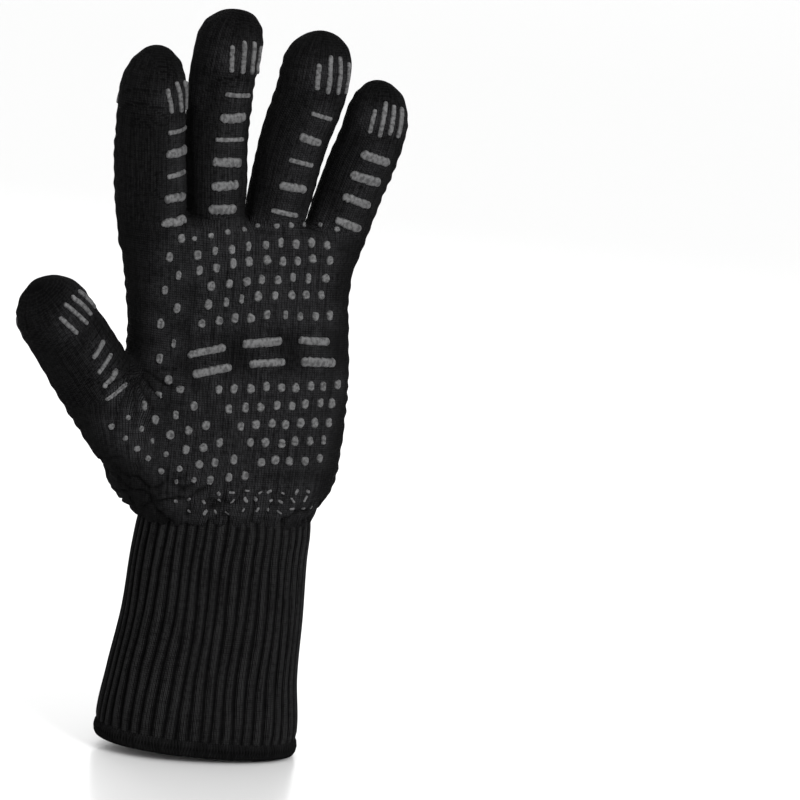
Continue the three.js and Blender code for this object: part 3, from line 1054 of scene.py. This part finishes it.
def print_at(place, side):
    """The print of the piece that a place is on. side is -1 on the palm's face, 1 on the back."""
    owner, along = place_of(place[None])
    key = "palm_print" if side < 0 else "back_print"
    if owner[0] >= 0:
        key = (DIGITS[owner[0]], int(zone_of(owner, along)[0]))
    pad_centres.append(place)
    return prints.setdefault(key, Print())


def spread(amount):
    return random.uniform(-amount, amount)


def uneven_size(size, length_spread, width_spread):
    length, width, height = size
    return length * (1 + spread(length_spread)), width * (1 + spread(width_spread)), height


# For each digit, in degrees and millimetres: the turn of its print at its lowest bar and at its
# tip, the lean of the tip's bars, how far those and the first cross bar are from its end, the
# pitch and length of the cross bars, and the cross bars, wide ones as = and narrow ones as -.
DIGIT_PRINTS = {
    "index": dict(turns=(30, 52), lean=18, tip=20.5, first=35.5, pitch=10.2, length=13.5, bars="-=-=="),
    "middle": dict(turns=(-3, 25), lean=10, tip=19, first=35.5, pitch=10.3, length=13.8, bars="-=-==="),
    "ring": dict(turns=(-2, 20), lean=5, tip=17.5, first=34.5, pitch=11.6, length=12.8, bars="-=-=-"),
    "little": dict(turns=(-2, 4), lean=-4, tip=16, first=32.5, pitch=10.9, length=15.5, bars="===="),
    "thumb": dict(turns=(-24, 2), lean=14, tip=16.5, first=36.0, pitch=7.0, length=12.5, bars="----"),
}

# The back's print turns by this share of the palm's.
BACK_TURN = 0.4

# The tip's four bars: their step round the digit, in degrees, then each one's place in steps, its
# length and how much lower it is, and the width and height of them all.
TIP_BAR_STEP = 22.5
TIP_BARS = ((-1.5, 12.0, 1.6), (-0.5, 16.0, 0.2), (0.5, 15.5, 0.0), (1.5, 13.5, 0.8))
TIP_BAR_SIZE = (2.2, 0.9)

# The width and height of the cross bars, and in degrees the angle between them and the digit's line
# and how much it varies.
CROSS_SIZES = {"=": (3.9, 1.1), "-": (2.1, 0.8)}
CROSS_SLANT = 90
THUMB_SLANT = 98
SLANT_SPREAD = 3


def print_digit(digit, side):
    """The bars on one face of a digit. side is -1 on the pad, and 1 on the nail's side."""
    layout = DIGIT_PRINTS[digit.name]
    low_turn, tip_turn = layout["turns"]
    lowest = layout["first"] + (len(layout["bars"]) - 1) * layout["pitch"]

    def put(from_end, degrees, direction_turn, size):
        share = min(1, (lowest - from_end) / (lowest - layout["tip"]))
        turn = low_turn + (tip_turn - low_turn) * share
        turn = degrees + (180 + turn * BACK_TURN if side > 0 else turn)
        angle = math.radians(turn)
        centre, along, front, across = (v[0] for v in digit.frame_at(digit.length - from_end))
        outward = front * math.cos(angle) + across * math.sin(angle)
        hit, normal = shoot(centre, outward)
        if hit is None:
            return
        way = math.radians(direction_turn)
        direction = along * math.cos(way) - np.cross(along, outward) * math.sin(way)
        size = uneven_size(size, 0.12, 0.1)
        print_at(hit, side).pad(hit, normal, direction, size, BAR_PROFILE, (centre, along))

    for place, length, lower in TIP_BARS:
        size = (length, *TIP_BAR_SIZE)
        put(layout["tip"] + lower, place * TIP_BAR_STEP, layout["lean"], size)
    for i, kind in enumerate(layout["bars"]):
        from_end = layout["first"] + i * layout["pitch"]
        turned = (THUMB_SLANT if digit.thumb else CROSS_SLANT) + spread(SLANT_SPREAD)
        put(from_end, 0, turned, (layout["length"], *CROSS_SIZES[kind]))


# Each pad's length, width and height.
DOT = (4.3, 3.3, 1.0)
SMALL_DOT = (2.4, 2.6, 0.8)
PALM_BAR = (17.5, 3.7, 1.1)
HEEL_FLECK = (3.1, 1.5, 0.6)

# The print of the palm, in millimetres from the wrist's axis: x sideways and z up. A row is its
# height at x = 0, the x of its first pad, and for dots their number and size. The rows curve down
# towards the thumb's side, those of the upper dots by a share of what the bars' rows do.
ROWS = Sizes(slope=0.15, curve=0.0028)
BARS = Sizes(rows=((187.8, -23.8), (178.6, -20.7)), count=3, pitch=24.8)
UPPER = Sizes(
    pitch=7.5,
    curving=0.85,
    rows=(
        (199.3, -27.5, 9, DOT),
        (207.8, -25.0, 8, DOT),
        (215.3, -24.0, 8, DOT),
        (223.3, -30.0, 9, DOT),
        (230.4, -31.0, 9, DOT),
        (237.5, -33.0, 10, SMALL_DOT),
    ),
)

# The column of dots at the index finger's side, which swing left and right of its x in turn.
COLUMN = Sizes(x=-41.0, swing=2.6, lowest=169.5, pitch=7.5, count=9)

# The rows of dots below the bars. Each is a drop lower than the one before it, and its last dot is
# further inward.
LOWER = Sizes(top=168.2, drop=8.15, right=39.7, inward=1.6, pitch=7.1, counts=(9, 8, 7, 6, 5))
LOWER_ROWS = Sizes(slope=0.1, curve=0.001)

# The lines of dots over the ball of the thumb: x and z of the first dot, and the steps along a line
# and to the next line. They close up by this much, dot by dot and line by line.
BALL = Sizes(lines=5, dots=6, first=(-34.0, 165.0), along=(6.5, 7.0), next=(7.6, 4.2))
BALL_CLOSING = 0.55
BALL_LARGE = 3

# The rows of flecks at the heel, as above. Each fleck strays by up to the shift.
HEEL = Sizes(
    rows=((122.0, -12.0, 8), (118.0, -30.0, 11), (113.6, -24.0, 11)),
    pitch=5.9,
    shift=1.0,
    rise=0.06,
    slopes=(-1.2, -0.5, 0, 0.5, 0.9, 2.0),
    sizes=(0.55, 1.1),
)

# How far a dot strays, and how near another pad it may be. A fold of the knit hides part of some
# dots, which leaves them a share of their width. Pads are laid on from FAR outside, where the
# fabric faces that way by at least LEAST_FACING.
FAR = 90
LEAST_FACING = 0.2
DOT_SHIFT = 0.6
SPACING = 5.2
SMALL_SPACING = 3.9
FOLDED = (1, 1, 1, 1, 1, 0.8, 0.65)


def row_rise(x):
    return ROWS.slope * x - ROWS.curve * x * x


def palm_pad(x, z, side, size, slope=None):
    """A bar on the palm's face, along a slope, or a dot. side is -1 on the palm, 1 on the back."""
    hit, normal = shoot((WRIST[0] + x, WRIST[1] + side * FAR, z), (0, -side, 0))
    if hit is None or side * normal[1] < LEAST_FACING:
        return
    spacing = SPACING if size[0] == DOT[0] else SMALL_SPACING
    if slope is None and any(np.linalg.norm(hit - other) < spacing for other in pad_centres):
        return
    direction, profile = ((0, 0, 1), DOT_PROFILE) if slope is None else ((1, 0, slope), BAR_PROFILE)
    size = uneven_size(size, 0.08, 0.12)
    print_at(hit, side).pad(hit, normal, np.array(direction, float), size, profile)


def dot(x, z, side, size=DOT):
    x, z = x + spread(DOT_SHIFT), z + spread(DOT_SHIFT)
    length, width, height = size
    palm_pad(x, z, side, (length, width * random.choice(FOLDED), height))


def print_upper_palm(side):
    """The bars, the rows of dots above them and the column at the index finger's side."""
    for z, start in BARS.rows:
        for i in range(BARS.count):
            x = start + i * BARS.pitch
            palm_pad(x, z + row_rise(x), side, PALM_BAR, slope=ROWS.slope - 2 * ROWS.curve * x)
    for z, start, count, size in UPPER.rows:
        for i in range(count):
            x = start + i * UPPER.pitch
            dot(x, z + row_rise(x) * UPPER.curving, side, size)
    for i in range(COLUMN.count):
        dot(COLUMN.x + COLUMN.swing * (-1) ** i, COLUMN.lowest + i * COLUMN.pitch, side)


def print_lower_palm(side):
    """The rows of dots below the bars, and the slanting lines of dots over the ball of the thumb."""
    for i, count in enumerate(LOWER.counts):
        for k in range(count):
            x = LOWER.right - LOWER.inward * i - LOWER.pitch * k
            z = LOWER.top - LOWER.drop * i + LOWER_ROWS.slope * x - LOWER_ROWS.curve * x * x
            dot(x, z, side)
    for line in range(BALL.lines):
        for step in range(BALL.dots):
            x = BALL.first[0] + BALL.along[0] * step - BALL.next[0] * line
            z = BALL.first[1] - BALL.along[1] * step - BALL.next[1] * line
            size = DOT if line < BALL_LARGE else SMALL_DOT
            dot(x, z + BALL_CLOSING * step * line, side, size)


def print_heel(side):
    """Rows of slanting flecks over the wrist, where gathers in the fabric hide most of each dot."""
    for z, start, count in HEEL.rows:
        for i in range(count):
            x = start + i * HEEL.pitch + spread(HEEL.shift)
            rise = HEEL.rise * x + spread(HEEL.shift)
            size = [edge * random.uniform(*HEEL.sizes) for edge in HEEL_FLECK]
            palm_pad(x, z + rise, side, size, random.choice(HEEL.slopes))


def make_prints():
    for side in (-1, 1):
        for digit in digits.values():
            print_digit(digit, side)
        print_upper_palm(side)
        print_lower_palm(side)
        print_heel(side)


def finish_prints():
    replaced = {
        "palm_print": ("palm_dots_upper", "palm_bars", "palm_dots_lower"),
        "back_print": ("back_dots_upper", "back_bars", "back_dots_lower"),
    }
    for key, pads in prints.items():
        if isinstance(key, tuple):
            digit = digits[key[0]]
            zone_name = ZONE_NAMES[digit.name][key[1]]
            made = pads.finished(f"{digit.name}_{zone_name}_print")
            nodes = (f"{digit.name}_tip_grip",) if zone_name == "tip" else ()
            carry(finish_piece(made, SILICONE, "silicone", *nodes), (digit, key[1]))
        else:
            made = pads.finished(key)
            carry(finish_piece(made, SILICONE, "silicone", *replaced[key]), "palm")


# How far from a pad the fabric is rubbed, and how slowly that fades.
WORN_REACH = 5.5
WORN_FADE = 1.5


def wear_and_crease_shade_of(points):
    """How much the fabric is rubbed lighter: 1 among the pads, and 0 well away from them. In a crease
    it is 0 as well, which keeps the crease darker as painted shade.
    """
    closest = np.full(len(points), np.inf)
    for centre in pad_centres:
        away = np.sum((points - centre) ** 2, axis=1)
        closest = np.minimum(closest, away)
    # The creases lose the lighter wear, which leaves them darker: painted shade in the creases.
    crease_shade = heel_creases(points) / HEEL_CREASES.depth + web_creases(points) / WEB_CREASES.depth
    return np.exp(-closest / WORN_REACH**2 / WORN_FADE) * ramp(1 - crease_shade)


# ---- The cuff ----

# The ribs end at this level, under the palm's edge, and start this far down inside the hem's band.
RIB_TOP = 109
RIB_IN_BAND = 2.5
CUFF_INSET = 0.4

# The points round the cuff and on its finer outline, the height of a row of its faces, and the
# first level and the height of a row of its lining's.
CUFF_SIDES = RIBS * 14
OUTLINE_STEPS = 4000
CUFF_ROW = 1.6
LINING_FROM = 2.0
LINING_ROW = 3.0

# The soft rim stands a little off the floor at the thumb's side, up to this height of the cuff.
RIM = Sizes(lift=5.0, top=45)


def outward_of(ring):
    """The way out of a closed ring at each of its points."""
    ahead = steps_round(ring)
    return units(np.column_stack([ahead[:, 1], -ahead[:, 0]]))


def cuff_ring(height, inset, relief=None):
    """A ring round the cuff at a height, moved inwards, with a relief in millimetres."""
    half, deep, shift = smooth_levels(CUFF_LEVELS, np.array([height], float))[0]
    fine = np.linspace(0, 2 * math.pi, OUTLINE_STEPS, endpoint=False)
    x, y = superellipse(fine, CUFF_POWER)
    outline = np.column_stack([x * (half - inset), y * (deep - inset)])
    closed = np.vstack([outline, outline[:1]])
    walked = np.r_[0, np.cumsum(np.linalg.norm(np.diff(closed, axis=0), axis=1))]
    at = np.arange(CUFF_SIDES) / CUFF_SIDES * walked[-1]
    ring = sampled(at, walked, closed)
    if relief is not None:
        ring = ring + outward_of(ring) * relief[:, None]
    fade = max(0, 1 - height / RIM.top) ** 2
    lift = RIM.lift * fade * ramp(0.5 - ring[:, 0] / half / 2) ** 1.2
    return np.column_stack([ring + (WRIST[0] + shift, WRIST[1]), height + lift])


def rib_wander(turn, height):
    """How far a rib strays sideways at a height, in ribs."""
    return 0.10 * np.sin(turn * 0.7 + height * 0.045) + 0.05 * np.sin(turn * 1.9 - height * 0.08)


def rib_relief(height, top, bottom):
    """The ribs' height round the cuff: round ridges with narrow grooves between them."""
    turn = np.arange(CUFF_SIDES) / CUFF_SIDES * RIBS
    phase = (turn + rib_wander(turn, height)) % 1
    ridge = np.sin(math.pi * phase) ** 0.55
    uneven = 1 + 0.12 * np.sin(turn * 2.4 + height * 0.11)
    fade = max(0, min(1, (height - bottom) / 3 + 0.25, (top - height) / 10))
    return (ridge - 0.75) * RIB_DEPTH * fade * uneven


def tube_mesh(name, rings):
    """A tube over rings, with wales that wander as the cuff's ribs do."""
    points, faces = skin(rings, closed=False)
    made = mesh_object(name, points, faces)
    sides = len(rings[0])
    corners = corners_of(faces)
    round_cuff = RIBS * RIB_WALES
    across = ((corners % sides) / sides * round_cuff).reshape(-1, 4)
    wrapped = np.array([f[1] % sides == 0 for f in faces])
    across[wrapped, 1] = round_cuff
    across[wrapped, 2] = round_cuff
    heights = points[corners][:, 2]
    across = across.ravel()
    across = across + RIB_WALES * rib_wander(across / RIB_WALES, heights)
    write_stitches(made.data, np.column_stack([across, heights / COURSE]))
    return made


def make_cuff():
    top = CUFF_LEVELS[-1][3]
    heights = np.arange(HEM_TOP - RIB_IN_BAND, top, CUFF_ROW)
    rings = [cuff_ring(z, CUFF_INSET, rib_relief(z, RIB_TOP, HEM_TOP)) for z in heights]
    ribs = thicken(tube_mesh("cuff_rib_knit", rings), FABRIC)
    finish_piece(ribs, RIB, "ribs", "cuff_ribs", "wrist_fold")
    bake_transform(ribs)
    heights = np.arange(LINING_FROM, top, LINING_ROW)
    rings = [cuff_ring(z, LINER.cuff_inset)[::4] for z in heights]
    lining = thicken(tube_mesh("cuff_lining", rings), LINER.thick)
    finish_piece(lining, LINING, "liner", "cuff_liner")
    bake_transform(lining)


# The band's thickness, how far it stands out past the cuff, and the points round its section.
BAND = Sizes(thick=5.2, proud=0.5, points=28)


def make_hem():
    """The rolled band at the rim, and the overlock thread that wraps it."""
    rings = []
    for angle in np.linspace(-math.pi, math.pi, BAND.points + 1)[:-1]:
        out = BAND.thick / 2 * math.cos(angle)
        up = HEM_TOP / 2 * math.copysign(abs(math.sin(angle)) ** 0.9, math.sin(angle))
        rings.append(cuff_ring(HEM_TOP / 2, BAND.thick / 2 - BAND.proud - out)[::2] + (0, 0, up))
    rings.append(rings[0])
    band = tube_mesh("cuff_hem_roll", rings[::-1])
    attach(finish_piece(band, HEM, "hem", "cuff_hem_band"), "cuff")
    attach(finish_piece(overlock(), HEM, "hem"), "cuff")


# The thread's half thickness and sides, its loops round the cuff and the steps in a loop.
THREAD_SIZES = Sizes(half=0.32, sides=6, loops=168, steps=10)


def overlock():
    """One thread that climbs over the outside of the band and back, again and again."""
    base = cuff_ring(HEM_TOP / 2, 0)
    count = THREAD_SIZES.loops * THREAD_SIZES.steps
    place = np.arange(count) / count * CUFF_SIDES
    closed = np.vstack([base, base[:1]])
    spots = sampled(place, np.arange(CUFF_SIDES + 1), closed)
    outward = outward_of(spots[:, :2])
    climb = np.sin(np.arange(count) / THREAD_SIZES.steps * 2 * math.pi)
    up = spots[:, 2] + climb * (HEM_TOP / 2 - 0.3)
    out = BAND.proud - BAND.thick / 2 * (1 - np.sqrt(1 - 0.8 * climb**2))
    path = np.column_stack([spots[:, :2] + outward * out[:, None], up])
    normal = np.column_stack([outward, np.zeros(count)])
    binormal = np.cross(units(steps_round(path)), normal)
    strands = []
    for a in np.linspace(0, 2 * math.pi, THREAD_SIZES.sides, endpoint=False):
        strands.append(path + (normal * math.cos(a) + binormal * math.sin(a)) * THREAD_SIZES.half)
    points = np.stack(strands, axis=1).reshape(-1, 3)
    faces = (np.array(bands(count + 1, THREAD_SIZES.sides)) % len(points)).tolist()
    made = mesh_object("cuff_hem_stitches", points, faces)
    row, corner = np.divmod(corners_of(faces), THREAD_SIZES.sides)
    write_stitches(made.data, np.column_stack([corner, row * 0.3]))
    return made


# ---- Floor, light and camera ----

# In metres: half the floor's width, and how far it lies under the glove.
FLOOR_HALF = 12.0
FLOOR_DROP = 0.0004

# Each light's place and size in metres, and its power in watts. They face LIT.
LIT = (0.02, 0, 0.18)
LIGHTS = (
    ("key", (0.6, -1.5, 1.0), (0.7, 0.7), 29),
    ("fill", (-1.3, -0.8, 0.7), (0.8, 1.2), 5),
    ("rim", (0.3, 1.4, 1.2), (1.0, 0.8), 12),
)
WORLD_LIGHT = 1.2


def make_stage():
    corners = np.array([(-1, -1, 0), (1, -1, 0), (1, 1, 0), (-1, 1, 0)])
    floor = mesh_object("floor", corners * FLOOR_HALF / MM, [(0, 1, 2, 3)])
    floor.location.z = -FLOOR_DROP
    sockets = {"Base Color": (0.655, 0.655, 0.655, 1), "Roughness": 0.24, "Specular IOR Level": 0.7}
    floor.data.materials.append(Nodes("pale_floor").shade(sockets))


def area_light(name, place, size, power):
    data = bpy.data.lights.new(name, "AREA")
    data.shape = "RECTANGLE"
    data.size, data.size_y = size
    data.energy = power
    made = add_object(name, data)
    made.location = place
    made.rotation_euler = (Vector(LIT) - Vector(place)).to_track_quat("-Z", "Y").to_euler()


def make_light():
    world = bpy.data.worlds.new("studio")
    world.use_nodes = True
    background = world.node_tree.nodes["Background"]
    background.inputs["Color"].default_value = (1, 1, 1, 1)
    background.inputs["Strength"].default_value = WORLD_LIGHT
    bpy.context.scene.world = world
    bpy.context.scene.view_settings.view_transform = "Standard"
    for light in LIGHTS:
        area_light(*light)


# The camera's angles in degrees; in metres, how far it is, the width that it sees at that distance,
# and where it aims, to the right of the wrist's axis and up from the floor; its sensor's width.
AZIMUTH = -22
ELEVATION = 8.5
ROLL = 6.8
DISTANCE = 1.9
FIELD = 0.3576
AIM_RIGHT = 0.0717
AIM_UP = 0.1652
SENSOR = 36


def make_camera():
    a, e = math.radians(AZIMUTH), math.radians(ELEVATION)
    back = Vector((math.sin(a) * math.cos(e), -math.cos(a) * math.cos(e), math.sin(e)))
    right = Vector((math.cos(a), math.sin(a), 0))
    up = back.cross(right)
    origin = Vector((WRIST[0] * MM, WRIST[1] * MM, 0))
    aim = origin + right * AIM_RIGHT + up * AIM_UP
    r = math.radians(ROLL)
    turned_right = right * math.cos(r) + up * math.sin(r)
    turned_up = up * math.cos(r) - right * math.sin(r)
    data = bpy.data.cameras.new("camera")
    data.sensor_width = SENSOR
    data.lens = SENSOR * DISTANCE / FIELD
    camera = add_object("camera", data)
    turn = Matrix((turned_right, turned_up, back)).transposed()
    camera.matrix_world = Matrix.Translation(aim + back * DISTANCE) @ turn.to_4x4()
    bpy.context.scene.camera = camera


make_prints()
# How much each point of the hand is rubbed lighter near the pads, with painted shade in the creases.
wear_and_crease_shade = wear_and_crease_shade_of(hand_points)
make_shell()
finish_prints()
make_cuff()
make_hem()
make_stage()
make_light()
make_camera()
